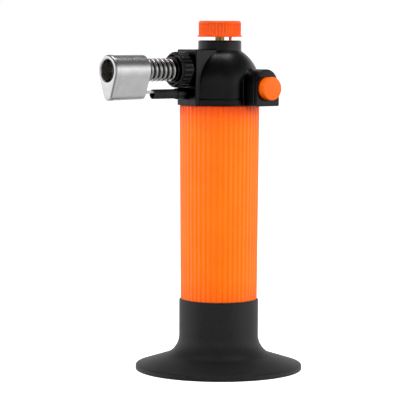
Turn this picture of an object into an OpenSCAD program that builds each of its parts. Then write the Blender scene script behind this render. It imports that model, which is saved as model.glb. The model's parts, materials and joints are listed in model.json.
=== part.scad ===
// Butane micro torch: ribbed fuel tank on a flared stand, domed head with a side igniter, horizontal
// burner with an air ring, coil and pear-shaped flame guard, and a gas knob on top.
// Millimetres. Origin: centre of the stand's bottom plane. +Z up, +X the way the flame leaves, +Y the button.

/* [Stand] */
// Radius of the stand's foot
foot_r = 34.7; // [34:0.1:37]
// Height of the stand, up to the top of its collar
stand_h = 29.5; // [28:0.5:34]

/* [Tank] */
// Radius over the ribs, just below the head
tank_r = 16.5; // [16:0.05:16.6]
// How much narrower the tank is just above the stand
tank_taper = 0.6; // [0:0.1:0.8]
// Height of tank that shows between the stand and the head
tank_h = 80.9; // [60:0.1:100]
// Number of ribs round the tank
tank_ribs = 48; // [36:2:60]

/* [Head] */
// Radius of the head and its dome
head_r = 16.7; // [16.6:0.1:17]
// Half the width of the front block
block_half = 6.4; // [6:0.1:6.6]
// Distance from the tank's axis to the block's front face
block_x = 17.2; // [17.2:0.1:17.4]
// How far behind the tank's axis the igniter arm stands
arm_back = 5.2; // [5.1:0.1:5.4]
// Distance from the tank's axis to the end of the igniter arm
arm_y = 25.3; // [25:0.1:27]

/* [Burner] */
// Height of the burner's axis above the head's lower edge
burner_up = 14.7; // [14.6:0.1:14.8]
// Distance from the tank's axis to the guard's rear edge
guard_x = 39.7; // [39:0.1:44]
// Length of the guard's sleeve
guard_l = 14.9; // [14:0.1:20]
// Radius of the guard's upper lobe
guard_r = 6.25; // [6:0.05:6.6]
// Radius of the guard's lower lobe
lobe_r = 3; // [2.8:0.1:3.4]
// Radius of the hole that the flame leaves by
mouth_r = 4.5; // [4.2:0.05:4.6]
// Number of teeth on the air ring
ring_teeth = 24; // [18:1:30]
// Turns of the heat coil
coil_turns = 6; // [4:0.5:7]

/* [Controls] */
// Radius of the gas knob over its ribs
knob_r = 8.75; // [8.4:0.05:9]
// Height of the gas knob
knob_h = 6.6; // [6.2:0.1:8]
// Number of ribs round the knob
knob_ribs = 42; // [30:2:60]
// Angle that the knob turns through, from closed to fully open
knob_turn = 270; // [180:10:280]
// Radius of the igniter button
button_r = 4.75; // [4.6:0.05:4.8]
// How far the button goes in
button_travel = 3; // [2:0.1:3.2]

/* [Hidden] */
$fn = 64;
EPS = 0.01;
RUN = 0.05;                             // running clearance, all round

PLASTIC = [0.07, 0.07, 0.075];
ORANGE = [0.95, 0.36, 0.03];
STEEL = [0.75, 0.75, 0.76];
BRASS = [0.80, 0.63, 0.28];
RUBBER = [0.12, 0.12, 0.12];
CERAMIC = [0.88, 0.87, 0.84];

// Stand
collar_r = 16.5;                        // outside of the collar
socket_r = 14.6;                        // inside of the collar, where the tank's spigot stands
shelf_r = 13;                           // inside of the shelf under the spigot
shelf_z = 14.5;                         // top of the shelf
shelf_t = 2;
foot_t = 2;                             // thickness of the flared skin
flare_tilt = 17.8;                      // slope of the flare, in degrees
flare_fillet = 9;                       // radius between the flare and the collar
flare_z = 14.5;                         // height of the fillet's centre
rim_round = 1;                          // radius of the foot's upper edge
foot_edge = 0.3;                        // small chamfer where the foot meets the bench
foot_ring = 2;                          // width of the ring that the foot rests on

// Tank
head_z = stand_h + tank_h;              // lower edge of the head
foot_tank_r = tank_r - tank_taper;
rib_depth = 0.34;
spigot_r = socket_r - RUN;
tank_in_r = 14.1;                       // main cavity
spigot_in_r = 12.75;
tank_floor = 2.2;
neck_r = 15;                            // neck that the head fits over
neck_h = 1.5;
neck_z = head_z + neck_h;
filler_hole_r = 3;
filler_boss_r = 5.5;
filler_boss_z = 22;

// Tank cap
plug_r = tank_in_r - RUN;
plug_h = 5.7;
cap_r = 14.9;
cap_t = 1.4;
cap_top = neck_z + cap_t;
seal_wire = 0.78;                       // half the thickness of the tank's O-ring
seal_z = neck_z - 3;
cap_boss_r = 6.5;
wick_r = 1.85;
wick_top = head_z + 0.3;
screw_y = 3.2;                          // screws stand this far each side of the middle
screw_z = head_z + 4.2;
screw_pad_x = -10;                      // front of the pad that takes the screws
screw_seat_x = 1.5 - head_r;            // where the screws' heads sit
screw_r = 0.8;
screw_head_r = 1.5;
screw_head_h = 0.8;

// Filler valve, about the tank's axis
filler_z = 12.2;                        // lower end
filler_r = filler_hole_r - RUN;
port_r = 1.6;                           // bore that takes the refill nozzle
port_top = 16.4;
filler_room_r = 2.2;
filler_room_top = 21.8;
filler_top = 22.6;
filler_seal_t = 0.8;
stem_r = 0.9;
stem_flange_z = port_top + filler_seal_t + 0.05;
stem_flange_t = 1;
stem_top = stem_flange_z + stem_flange_t + 1.5;

// Head
head_wall = 1.6;
dome_z = head_z + 8.1;                  // centre of the dome
lip_r = 17.1;                           // lip round the head's lower edge
lip_h = 2.6;
block_top = head_z + 22.9;
block_wall = 1.8;
collar_top_r = 8.95;                    // ring under the knob
collar_top_z = head_z + 26.55;
recess_r = 7.4;
recess_z = head_z + 23.1;               // floor of the ring
ring_floor_t = 2;
arm_x = -arm_back;
arm_half = 5.9;
arm_arch_z = head_z + 9.15;             // centre of the arched top
arm_bore_r = 5.05;
bezel_t = 1.65;
bezel_y = arm_y - bezel_t;
brow_t = 1.05;                          // how far the bezel's arched top slopes back
brow_r = 3.2;                           // height of the flat that is left above the arch's centre
button_z = head_z + 7.25;
stop_r = 6.5;                           // inside of the knob's stop rib
stop_h = 3.2;

// Gas valve
valve_r = 4.5;
valve_z = head_z + 12;                  // lower end of the valve's body
valve_top = head_z + 24.6;
pipe_r = 1.6;                           // inlet pipe between the cap and the valve's body
pipe_bore = 0.8;
pipe_low = neck_z - 1;
pipe_foot_r = 3;
seat_z = head_z + 13;
chamber_r = 2;
spindle_z = head_z + 16.9;              // lower end of the spindle
spindle_r = 2.8;
spline_r = 1.9;
flutes = 6;
flute_depth = 0.35;
flute_angle = 22;                       // turns the flutes against the stop lug
needle_r = 1.3;
groove_z = spindle_z + 3.9;
groove_h = 0.9;
spindle_wire = 0.34;                    // half the thickness of the spindle's O-ring

// Burner
nozzle_z = head_z + burner_up;
mount_r = 4;
mount_x = 12.2;
neck_flange_r = 5.6;
ring_x = 18.95;
ring_end = 24.3;
ring_r = 7.33;
tooth_depth = 0.75;
ring_bore_r = 4.95;
ring_lip_r = 6.4;
port_x = 21.6;
seat_x = ring_end + 0.3;
seat_r = 5.4;
coil_x = seat_x + 0.6;
coil_wire = 0.55;                       // half the thickness of the coil's wire
burner_r = 3.5;
burner_bore = 2.9;
burner_x = 22.9;
burner_end = guard_x + 10.3;
jet_x = 12;
jet_end = 17.5;
jet_r = 2.4;
gas_tube_r = 1.5;

// Flame guard
sheet = 0.5;
guard_end = guard_x + guard_l;
lobe_rear = 8.75;                       // drop from the burner's axis to the lower lobe, at the rear
lobe_front = 9;                         // the same at the front, where the sleeve is taller
cap_edge = 0.12;                        // how far the front cap stands out over the sleeve
cap_side = 1.4;                         // depth of the cap's upright edge
cap_bulge = 0.85;
cap_inset = 0.8;
mouth_back = 4.6;                       // how far the mouth's tube runs back into the sleeve
spark_hole_r = 0.45;
spark_hole_back = 0.6;                  // from the cap's rear edge to the hole in the mouth's tube
spark_hole_angle = 149;                 // round the tube, from its top towards -Y

// Igniter lead
lead_z = head_z + 4.9;
sleeve_r = 1.95;
sleeve_bore = 1.55;
sleeve_end = 34.6;
boss_r = 2.35;
boss_end = block_x + 5.8;
electrode_z = lead_z + 0.9;             // the electrode lies in the upper part of the sleeve
electrode_x = sleeve_end - 6;
insulator_r = 0.6;
wire_r = 0.35;
lead_r = 0.6;

// Knob
knob_z = head_z + 28;
knob_lip = 0.5;
knob_top = knob_z + knob_h;
knob_wall = 1.5;
knob_roof = knob_top - knob_wall;
stop_angle = 92;                        // where the stop lug is when the gas is off
stop_low = head_z + 25.2;
lug_arc = 8;                            // width of the stop lug, in degrees
stop_gap = 1.5;                         // degrees left between lug and rib at each limit
rib_arc = 360 - knob_turn - lug_arc - 2 * stop_gap;
rib_from = stop_angle - lug_arc / 2 - stop_gap - rib_arc;

// Piezo unit, beside the inlet pipe and along +Y to the button
button_proud = button_travel + 0.2;
button_y = arm_y + button_proud;
button_back = bezel_y - 1.6;
piezo_y = -8;
piezo_floor = 1.6;
piezo_end = button_back - 3.4;
piezo_half = 3.35;
piezo_round = 4.5;
plunger_half = 2.5;
plunger_y = 3;

// Points along an arc
function arc(c, r, a0, a1, n) =
    [for (i = [0 : n]) let (a = a0 + (a1 - a0) * i / n) [c[0] + r * cos(a), c[1] + r * sin(a)]];

// Outline with soft ribs: count ribs of the given depth, standing out to radius r
function ribbed(r, depth, count, steps) =
    [for (i = [0 : count * steps - 1])
        let (a = 360 * i / (count * steps), d = depth * pow(abs(sin(a * count / 2)), 4))
        [(r - d) * cos(a), (r - d) * sin(a)]];

// Outline with flat-topped teeth
function toothed(r, depth, count) =
    [for (i = [0 : count - 1], s = [[-0.34, depth], [-0.2, 0], [0.2, 0], [0.34, depth]])
        let (a = 360 * (i + s[0]) / count)
        [(r - s[1]) * cos(a), (r - s[1]) * sin(a)]];

// Pear-shaped outline of the guard at x, shrunk by d all round, as points in space
function pear(x, d) =
    let (
        drop = lobe_rear + (lobe_front - lobe_rear) * (min(x, guard_end) - guard_x) / guard_l,
        tilt = asin((guard_r - lobe_r) / drop),
        outline = concat(
            arc([0, nozzle_z], guard_r - d, -tilt, 180 + tilt, 36),
            arc([0, nozzle_z - drop], lobe_r - d, 180 + tilt, 360 - tilt, 16)))
    [for (p = outline) [x, p[0], p[1]]];

module rod_x(x0, x1, r, z = nozzle_z, y = 0) {
    translate([x0, y, z]) rotate([0, 90, 0]) cylinder(h = x1 - x0, r = r);
}

module rod_y(y0, y1, r, z = button_z, x = arm_x) {
    translate([x, y1, z]) rotate([90, 0, 0]) cylinder(h = y1 - y0, r = r);
}

module rod_z(z0, z1, r) {
    translate([0, 0, z0]) cylinder(h = z1 - z0, r = r);
}

// Extrudes an outline drawn in Y and Z along X
module along_x(x0, x1) {
    translate([x0, 0, 0]) rotate([90, 0, 90]) linear_extrude(height = x1 - x0) children();
}

// Extrudes an outline drawn in X and Z along Y
module along_y(y0, y1) {
    translate([0, y1, 0]) rotate([90, 0, 0]) linear_extrude(height = y1 - y0) children();
}

// Closed skin through rings of points, each ring with the same number of points
module skin(rings) {
    n = len(rings[0]);
    last = len(rings) - 1;
    polyhedron(
        points = [for (ring = rings, p = ring) p],
        faces = concat(
            [[for (j = [0 : n - 1]) j]],
            [for (i = [0 : last - 1], j = [0 : n - 1])
                [i * n + j, (i + 1) * n + j, (i + 1) * n + (j + 1) % n, i * n + (j + 1) % n]],
            [[for (j = [n - 1 : -1 : 0]) last * n + j]]));
}

// Coil of round wire about Z, from z = 0 to z = length
module coil(length, r, wire, turns, per_turn = 16, sides = 8) {
    steps = ceil(turns * per_turn);
    rise = length - 2 * wire;
    skin([for (i = [0 : steps])
        let (a = 360 * turns * i / steps)
        [for (j = [0 : sides - 1])
            let (b = -360 * j / sides, q = r + wire * cos(b))
            [q * cos(a), q * sin(a), wire + rise * i / steps + wire * sin(b)]]]);
}

// Tube of radius r swept along a path that never points straight up
module sweep(path, r, sides = 8) {
    last = len(path) - 1;
    skin([for (i = [0 : last])
        let (
            ahead = path[min(i + 1, last)] - path[max(i - 1, 0)],
            t = ahead / norm(ahead),
            side = cross(t, [0, 0, 1]) / norm(cross(t, [0, 0, 1])),
            up = cross(side, t))
        [for (j = [0 : sides - 1])
            let (b = -360 * j / sides)
            path[i] + r * (cos(b) * side + sin(b) * up)]]);
}

// Stand: flared foot, fillet, collar, and the shelf that the tank stands on
module base_stand() {
    fillet = [collar_r + flare_fillet, flare_z];
    drop = 270 - flare_tilt;
    slope = tan(flare_tilt);
    top = arc(fillet, flare_fillet, drop, 180, 12);
    shelf_angle = 180 + asin((flare_z - shelf_z + shelf_t) / (flare_fillet + foot_t));
    under = arc(fillet, flare_fillet + foot_t, shelf_angle, drop, 12);
    rim_r = foot_r - rim_round;
    rim_z = top[0][1] - (rim_r - top[0][0]) * slope - rim_round / cos(flare_tilt);
    under_r = foot_r - foot_ring - 0.8;
    under_z = under[12][1] - (under_r - under[12][0]) * slope;
    color(PLASTIC) rotate_extrude($fn = 128) polygon(concat(
        [[foot_r - foot_ring, 0], [foot_r - foot_edge, 0], [foot_r, foot_edge]],
        arc([rim_r, rim_z], rim_round, 0, 90 - flare_tilt, 8),
        top,
        [[collar_r, stand_h - foot_edge], [collar_r - foot_edge, stand_h], [socket_r, stand_h]],
        [[socket_r, shelf_z], [shelf_r, shelf_z], [shelf_r, shelf_z - shelf_t]],
        under,
        [[under_r, under_z], [foot_r - foot_ring - 0.2, 0.9]]));
}

// Tank: ribbed wall, spigot in the stand, neck under the head, floor with the filler's boss
module fuel_tank() {
    color(ORANGE) difference() {
        union() {
            translate([0, 0, stand_h]) linear_extrude(height = tank_h, scale = tank_r / foot_tank_r)
                polygon(ribbed(foot_tank_r, rib_depth, tank_ribs, 6));
            rod_z(shelf_z, stand_h + 1, spigot_r);
            rod_z(head_z - 1, neck_z, neck_r);
        }
        difference() {
            union() {
                rod_z(shelf_z + tank_floor, stand_h + 3, spigot_in_r);
                rod_z(stand_h + 2, neck_z + 1, tank_in_r);
            }
            rod_z(shelf_z, filler_boss_z, filler_boss_r);
        }
        rod_z(shelf_z - 1, filler_boss_z + 1, filler_hole_r);
    }
}

// Cap: plug with a seal groove, flange, boss for the valve and wick, pad for the screws
module tank_cap() {
    color([0.25, 0.25, 0.26]) difference() {
        union() {
            rod_z(neck_z - plug_h, neck_z, plug_r);
            rod_z(neck_z, cap_top, cap_r);
            rod_z(neck_z - plug_h - 1.5, cap_top, cap_boss_r);
            intersection() {
                rod_z(neck_z, screw_z + 2.5, cap_r);
                translate([-cap_r, -8, neck_z]) cube([cap_r + screw_pad_x, 16, 10]);
            }
        }
        difference() {
            rod_z(seal_z - 1, seal_z + 1, plug_r + 1);
            rod_z(seal_z - 2, seal_z + 2, plug_r - 2 * seal_wire);
        }
        difference() {
            rod_z(neck_z - plug_h - 2, neck_z - 1.6, plug_r - 3.2);
            rod_z(neck_z - plug_h - 2, neck_z, cap_boss_r);
        }
        rod_z(pipe_low, cap_top + 1, pipe_foot_r + RUN);
        rod_z(neck_z - plug_h - 2, pipe_low + 1, wick_r + RUN);
        for (y = [-screw_y, screw_y]) rod_x(-cap_r - 1, screw_pad_x - 1, screw_r + 0.02, screw_z, y);
    }
}

module tank_seal() {
    color(RUBBER) translate([0, 0, seal_z]) rotate_extrude($fn = 96)
        translate([plug_r - seal_wire, 0]) circle(r = seal_wire - 0.01, $fn = 24);
}

module feed_wick() {
    color(CERAMIC) rod_z(stand_h + 5, wick_top, wick_r);
}

// Refill valve: screwed up through the tank's floor, with a bore for the nozzle of a gas can
module filler_valve_body() {
    color(BRASS) difference() {
        union() {
            rod_z(filler_z, filler_top, filler_r);
            rod_z(shelf_z - 1.3, shelf_z, 4.6);
        }
        rod_z(filler_z - 1, port_top + 1, port_r);
        rod_z(port_top, filler_room_top, filler_room_r);
        rod_z(filler_room_top - 1, filler_top + 1, 0.7);
    }
}

module filler_seal() {
    color(RUBBER) difference() {
        rod_z(port_top, port_top + filler_seal_t, filler_room_r - RUN);
        rod_z(port_top - 1, port_top + 2, stem_r + 0.1);
    }
}

module filler_stem() {
    color(BRASS) difference() {
        union() {
            rod_z(port_top + 0.1, stem_flange_z + 0.5, stem_r);
            rod_z(stem_flange_z, stem_flange_z + stem_flange_t, 1.9);
            rod_z(stem_flange_z, stem_top, 0.8);
        }
        rod_z(port_top, stem_flange_z - 0.3, 0.35);
    }
}

module filler_spring() {
    z0 = stem_flange_z + stem_flange_t;
    color(STEEL) translate([0, 0, z0 + 0.05])
        coil(filler_room_top - z0 - 0.1, 1.35, 0.2, 5, 12, 6);
}

// Solid of the domed head, shrunk by d
module dome(d) {
    rotate_extrude($fn = 128) intersection() {
        union() {
            translate([0, dome_z]) circle(r = head_r - d, $fn = 128);
            translate([0, head_z]) square([head_r - d, dome_z - head_z]);
        }
        translate([0, head_z]) square([head_r + 1, 2 * head_r + 20]);
    }
}

// Arched section of the igniter arm
module arm_outline() {
    polygon(concat(
        [[arm_x - arm_half, head_z], [arm_x + arm_half, head_z]],
        arc([arm_x, arm_arch_z], arm_half, 0, 180, 24)));
}

// Head: dome, front block, collar under the knob, arm for the igniter
module head_housing() {
    color(PLASTIC) difference() {
        union() {
            dome(0);
            rod_z(head_z, head_z + lip_h, lip_r);
            translate([0, -block_half, head_z]) cube([block_x, 2 * block_half, block_top - head_z]);
            rod_z(dome_z, collar_top_z, collar_top_r);
            along_y(0, bezel_y) arm_outline();
        }
        difference() {
            union() {
                dome(head_wall);
                translate([0, block_wall - block_half, head_z - 1])
                    cube([block_x - block_wall, 2 * (block_half - block_wall), block_top - head_z - 0.8]);
            }
            rod_z(recess_z - ring_floor_t, collar_top_z, collar_top_r - 0.5);
        }
        rod_z(head_z - 1, head_z + 1, head_r - head_wall);
        rod_y(0, bezel_y + 1, arm_bore_r);
        rod_z(dome_z, collar_top_z, valve_r + 0.1);
        difference() {
            rod_z(recess_z, collar_top_z + 1, recess_r);
            rotate(rib_from) rotate_extrude(angle = rib_arc)
                translate([stop_r, recess_z - 1]) square([2, stop_h + 1]);
        }
        rod_x(block_x - block_wall - 3, block_x + 1, mount_r + RUN);
        rod_x(block_x - block_wall - 3, block_x + 1, sleeve_r + RUN, lead_z);
        for (y = [-screw_y, screw_y]) {
            rod_x(-head_r - 1, -head_r + 3, screw_r + 0.1, screw_z, y);
            rod_x(-head_r - 1, screw_seat_x, screw_head_r + 0.15, screw_z, y);
        }
    }
}

// Bezel: plate round the button, with an arched top that slopes back
module igniter_bezel() {
    color(PLASTIC) difference() {
        intersection() {
            along_y(bezel_y, arm_y) arm_outline();
            union() {
                translate([arm_x - arm_half, bezel_y, head_z])
                    cube([2 * arm_half, bezel_t, arm_arch_z - head_z]);
                rod_y(bezel_y, arm_y - brow_t, arm_half + 1, arm_arch_z);
                translate([arm_x, arm_y - brow_t, arm_arch_z]) rotate([-90, 0, 0])
                    linear_extrude(height = brow_t, scale = [1, brow_r / arm_half]) circle(r = arm_half);
            }
        }
        rod_y(bezel_y - 1, arm_y + 1, button_r + 0.08);
    }
}

// Two screws that hold the head to the tank cap
module head_screws() {
    color(STEEL) for (y = [-screw_y, screw_y]) {
        difference() {
            union() {
                rod_x(screw_seat_x - screw_head_h, screw_seat_x, screw_head_r, screw_z, y);
                rod_x(screw_seat_x, screw_pad_x - 1.4, screw_r, screw_z, y);
            }
            for (a = [0, 90]) translate([screw_seat_x - screw_head_h, y, screw_z]) rotate([a, 0, 0])
                cube([1, 1.8, 0.4], center = true);
        }
    }
}

// Gas valve: body with the inlet, the needle's seat, the outlet towards the burner and the spindle's bore
module valve_body() {
    color(BRASS) difference() {
        union() {
            rod_z(valve_z, valve_top, valve_r);
            rod_z(pipe_low, valve_z + 1, pipe_r);
            rod_z(pipe_low, cap_top, pipe_foot_r);
            rod_x(0, 7.5, 2.4);
        }
        rod_z(pipe_low - 1, seat_z + 1, pipe_bore);
        rod_z(seat_z, spindle_z, chamber_r);
        rod_z(spindle_z - 0.3, valve_top + 1, spindle_r + RUN);
        rod_x(0, 5.5, 0.8);
        rod_x(5.4, 8, gas_tube_r + RUN);
    }
}

module valve_nut() {
    color(BRASS) difference() {
        translate([0, 0, recess_z]) cylinder(h = valve_top - recess_z, r = 6.3, $fn = 6);
        rod_z(recess_z - 1, valve_top + 1, valve_r + RUN);
    }
}

// Spindle: turns in the valve, fluted where the knob is pressed on, bored for the needle
module regulator_spindle() {
    color(BRASS) difference() {
        union() {
            rod_z(spindle_z, valve_top, spindle_r);
            translate([0, 0, valve_top - 0.5]) linear_extrude(height = knob_roof - valve_top + 0.5)
                rotate(flute_angle) polygon(toothed(spline_r, flute_depth, flutes));
        }
        difference() {
            rod_z(groove_z, groove_z + groove_h, spindle_r + 1);
            rod_z(groove_z - 1, groove_z + 2, spindle_r - 2 * spindle_wire - 0.02);
        }
        rod_z(spindle_z - 1, spindle_z + 3.1, needle_r + RUN);
    }
}

module spindle_seal() {
    color(RUBBER) translate([0, 0, groove_z + groove_h / 2]) rotate_extrude()
        translate([spindle_r - spindle_wire - 0.01, 0]) circle(r = spindle_wire, $fn = 24);
}

module valve_needle() {
    color(STEEL) {
        translate([0, 0, seat_z - 0.4]) cylinder(h = 1.3, r1 = 0.55, r2 = needle_r);
        rod_z(seat_z + 0.9, spindle_z + 2.6, needle_r);
    }
}

// Knob: ribbed cap with a lip, hub for the spindle and a lug that meets the stop in the collar
module regulator_knob() {
    color(ORANGE) {
        difference() {
            union() {
                translate([0, 0, knob_z + 0.7]) linear_extrude(height = knob_h - 1.3)
                    polygon(ribbed(knob_r, 0.3, knob_ribs, 4));
                rod_z(knob_z, knob_z + 0.8, knob_r + knob_lip);
                translate([0, 0, knob_top - 0.65]) cylinder(h = 0.65, r1 = knob_r - 0.1, r2 = knob_r - 0.75);
            }
            difference() {
                rod_z(knob_z - 1, knob_roof, recess_r);
                rod_z(knob_z - 1, knob_top, 3.2);
            }
            rod_z(knob_z - 1, knob_roof + 0.1, spline_r + RUN);
        }
        rotate(stop_angle - lug_arc / 2) rotate_extrude(angle = lug_arc)
            translate([stop_r - 0.2, stop_low]) square([0.8, knob_roof - stop_low + 0.5]);
    }
}

module gas_tube() {
    color(BRASS) difference() {
        rod_x(5.55, 13.5, gas_tube_r);
        rod_x(5, 14, 0.9);
    }
}

module gas_jet() {
    color(BRASS) difference() {
        rod_x(jet_x, jet_end, jet_r);
        rod_x(jet_x - 1, jet_x + 2, gas_tube_r + RUN);
        rod_x(jet_x, jet_end + 1, 0.3);
    }
}

// Mount: holds the jet, passes through the head's front wall, and carries the air ring over three air ports
module burner_mount() {
    color(PLASTIC) difference() {
        union() {
            rod_x(mount_x, block_x + 0.5, mount_r);
            rod_x(block_x, ring_x - 0.15, neck_flange_r);
            rod_x(ring_x - 0.2, seat_x, ring_bore_r - RUN);
        }
        rod_x(mount_x - 1, jet_end + 0.1, jet_r + RUN);
        rod_x(jet_end, seat_x + 1, burner_bore);
        rod_x(burner_x, seat_x + 1, burner_r + RUN);
        for (a = [30, 150, 270]) translate([port_x, 0, nozzle_z]) rotate([a, 0, 0]) cylinder(h = 8, r = 0.9);
    }
}

// Air ring: toothed, with a recessed front and three slots that uncover the air ports
module air_ring() {
    color(PLASTIC) difference() {
        translate([0, 0, nozzle_z]) along_x(ring_x, ring_end)
            polygon(toothed(ring_r, tooth_depth, ring_teeth));
        rod_x(ring_x - 1, ring_end + 1, ring_bore_r);
        rod_x(port_x + 1.3, ring_end + 1, ring_lip_r);
        for (a = [30, 150, 270]) translate([0, 0, nozzle_z]) rotate([a, 0, 0])
            translate([port_x - 1.2, -1.2, 0]) cube([4, 2.4, 5.9]);
    }
}

module spring_seat() {
    color(PLASTIC) difference() {
        rod_x(seat_x, coil_x, seat_r);
        rod_x(seat_x - 1, coil_x + 1, burner_r + RUN);
    }
}

module burner_tube() {
    color(STEEL) difference() {
        rod_x(burner_x, burner_end, burner_r);
        rod_x(burner_x - 1, burner_end + 1, burner_bore);
    }
}

module heat_coil() {
    color(STEEL) translate([coil_x, 0, nozzle_z]) rotate([0, 90, 0])
        coil(guard_x - coil_x, burner_r + 0.1 + coil_wire, coil_wire, coil_turns);
}

// Guard: pear-shaped sleeve of thin sheet, open at both ends
module flame_guard() {
    color(STEEL) difference() {
        skin([pear(guard_x, 0), pear(guard_end, 0)]);
        skin([pear(guard_x - EPS, sheet), pear(guard_end + EPS, sheet)]);
    }
}

module guard_back() {
    color(STEEL) difference() {
        skin([pear(guard_x + 0.05, sheet + 0.02), pear(guard_x + 0.85, sheet + 0.02)]);
        rod_x(guard_x - 1, guard_x + 2, burner_r + RUN);
        rod_x(guard_x - 1, guard_x + 2, insulator_r + RUN, electrode_z);
    }
}

// Pillow-shaped solid on the guard's front edge, shrunk by d all round and in front
module pillow(d) {
    skin(concat(
        [pear(guard_end, d - cap_edge)],
        [for (i = [0 : 6])
            let (a = 90 * i / 6)
            pear(guard_end + cap_side + (cap_bulge - d) * sin(a),
                d - cap_edge + (cap_inset - d * 0.5) * (1 - cos(a)))]));
}

// Front cap: domed sheet with the flame's mouth drawn inwards as a tube, which has a small spark hole
module guard_cap() {
    color(STEEL) difference() {
        union() {
            pillow(0);
            rod_x(guard_end - mouth_back, guard_end + 0.5, mouth_r + sheet);
        }
        difference() {
            translate([-EPS, 0, 0]) pillow(sheet + 0.1);
            rod_x(guard_end - 1, guard_end + 3, mouth_r + sheet);
        }
        rod_x(guard_end - mouth_back - 1, guard_end + 4, mouth_r);
        translate([guard_end - spark_hole_back, 0, nozzle_z]) rotate([spark_hole_angle, 0, 0])
            cylinder(h = mouth_r + 2, r = spark_hole_r);
    }
}

module flame_holder() {
    color(STEEL) difference() {
        rod_x(burner_end - 4, burner_end - 2.5, burner_bore - RUN);
        for (a = [0 : 60 : 300])
            rod_x(burner_end - 5, burner_end, 0.5, nozzle_z + 1.7 * sin(a), 1.7 * cos(a));
        rod_x(burner_end - 5, burner_end, 0.6);
    }
}

// Boss where the lead's sleeve leaves the head
module lead_boss() {
    color(PLASTIC) difference() {
        union() {
            rod_x(block_x, boss_end - 1.4, boss_r, lead_z);
            translate([boss_end - 1.4, 0, lead_z]) rotate([0, 90, 0])
                cylinder(h = 1.4, r1 = boss_r, r2 = sleeve_r + 0.15);
        }
        rod_x(block_x - 1, boss_end + 1, sleeve_r + 0.02, lead_z);
    }
}

module lead_sleeve() {
    color(PLASTIC) difference() {
        rod_x(block_x - 2.4, sleeve_end, sleeve_r, lead_z);
        rod_x(block_x - 3, sleeve_end + 1, sleeve_bore, lead_z);
    }
}

module electrode_insulator() {
    color(CERAMIC) difference() {
        rod_x(electrode_x + 1.2, guard_end - 4, insulator_r, electrode_z);
        rod_x(electrode_x, guard_end, wire_r + 0.02, electrode_z);
    }
}

// Electrode: straight wire with its tip turned up to leave a spark gap below the burner tube
module electrode() {
    tip_x = burner_end + 2.6;
    color(STEEL) union() {
        rod_x(electrode_x, tip_x, wire_r, electrode_z);
        translate([tip_x, 0, electrode_z]) sphere(r = wire_r);
        translate([tip_x, 0, electrode_z]) cylinder(h = 3.4, r = wire_r);
    }
}

// Lead from the side of the piezo unit, past the inlet pipe and into the sleeve
module ignition_lead() {
    route = [
        [arm_x + piezo_half + 0.02, 8, lead_z + 0.6], [-0.6, 8, lead_z + 0.6], [1.4, 7.7, lead_z + 0.5],
        [3.4, 6.9, lead_z + 0.4], [5.4, 5.5, lead_z + 0.3], [7.4, 3.9, lead_z + 0.2],
        [9.4, 2.3, lead_z + 0.1], [11.4, 1, lead_z], [13.2, 0.25, lead_z], [15, 0, lead_z],
        [20, 0, lead_z], [24, 0, lead_z + 0.1], [26.6, 0, lead_z + 0.7],
        [electrode_x - 0.1, 0, electrode_z - 0.05],
    ];
    color(RUBBER) sweep(route, lead_r);
}

// Button: crowned cap with a retaining flange behind the bezel
module ignition_button() {
    color(ORANGE) union() {
        rod_y(button_back, bezel_y - 0.15, arm_bore_r - 0.07);
        rod_y(button_back, button_y - 1, button_r);
        translate([arm_x, button_y, button_z]) rotate([90, 0, 0]) rotate_extrude() polygon(concat(
            [[0, 1.2], [0, 0]],
            arc([button_r - 1, 1], 1, 270, 360, 6),
            [[button_r, 1.2]]));
    }
}

module piezo_body() {
    color([0.2, 0.2, 0.21]) difference() {
        intersection() {
            translate([arm_x - piezo_half, piezo_y, button_z - piezo_half])
                cube([2 * piezo_half, piezo_end - piezo_y, 2 * piezo_half]);
            rod_y(piezo_y - 1, piezo_end + 1, piezo_round);
        }
        translate([arm_x - plunger_half - RUN, piezo_y + piezo_floor, button_z - plunger_half - RUN])
            cube([2 * (plunger_half + RUN), piezo_end - piezo_y, 2 * (plunger_half + RUN)]);
    }
}

module piezo_plunger() {
    color(CERAMIC) difference() {
        translate([arm_x - plunger_half, plunger_y, button_z - plunger_half])
            cube([2 * plunger_half, button_back - plunger_y, 2 * plunger_half]);
        rod_y(plunger_y - 1, plunger_y + 3, 1.3);
    }
}

module piezo_spring() {
    y0 = piezo_y + piezo_floor + RUN;
    color(STEEL) translate([arm_x, y0, button_z]) rotate([-90, 0, 0])
        coil(plunger_y - y0 - RUN, 1.9, 0.25, 6, 12, 6);
}

base_stand();
fuel_tank();
tank_cap();
tank_seal();
feed_wick();
filler_valve_body();
filler_seal();
filler_stem();
filler_spring();
head_housing();
igniter_bezel();
head_screws();
valve_body();
valve_nut();
regulator_spindle();
spindle_seal();
valve_needle();
regulator_knob();
gas_tube();
gas_jet();
burner_mount();
air_ring();
spring_seat();
burner_tube();
heat_coil();
flame_guard();
guard_back();
guard_cap();
flame_holder();
lead_boss();
lead_sleeve();
electrode_insulator();
electrode();
ignition_lead();
ignition_button();
piezo_body();
piezo_plunger();
piezo_spring();
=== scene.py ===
import json
import math

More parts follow.
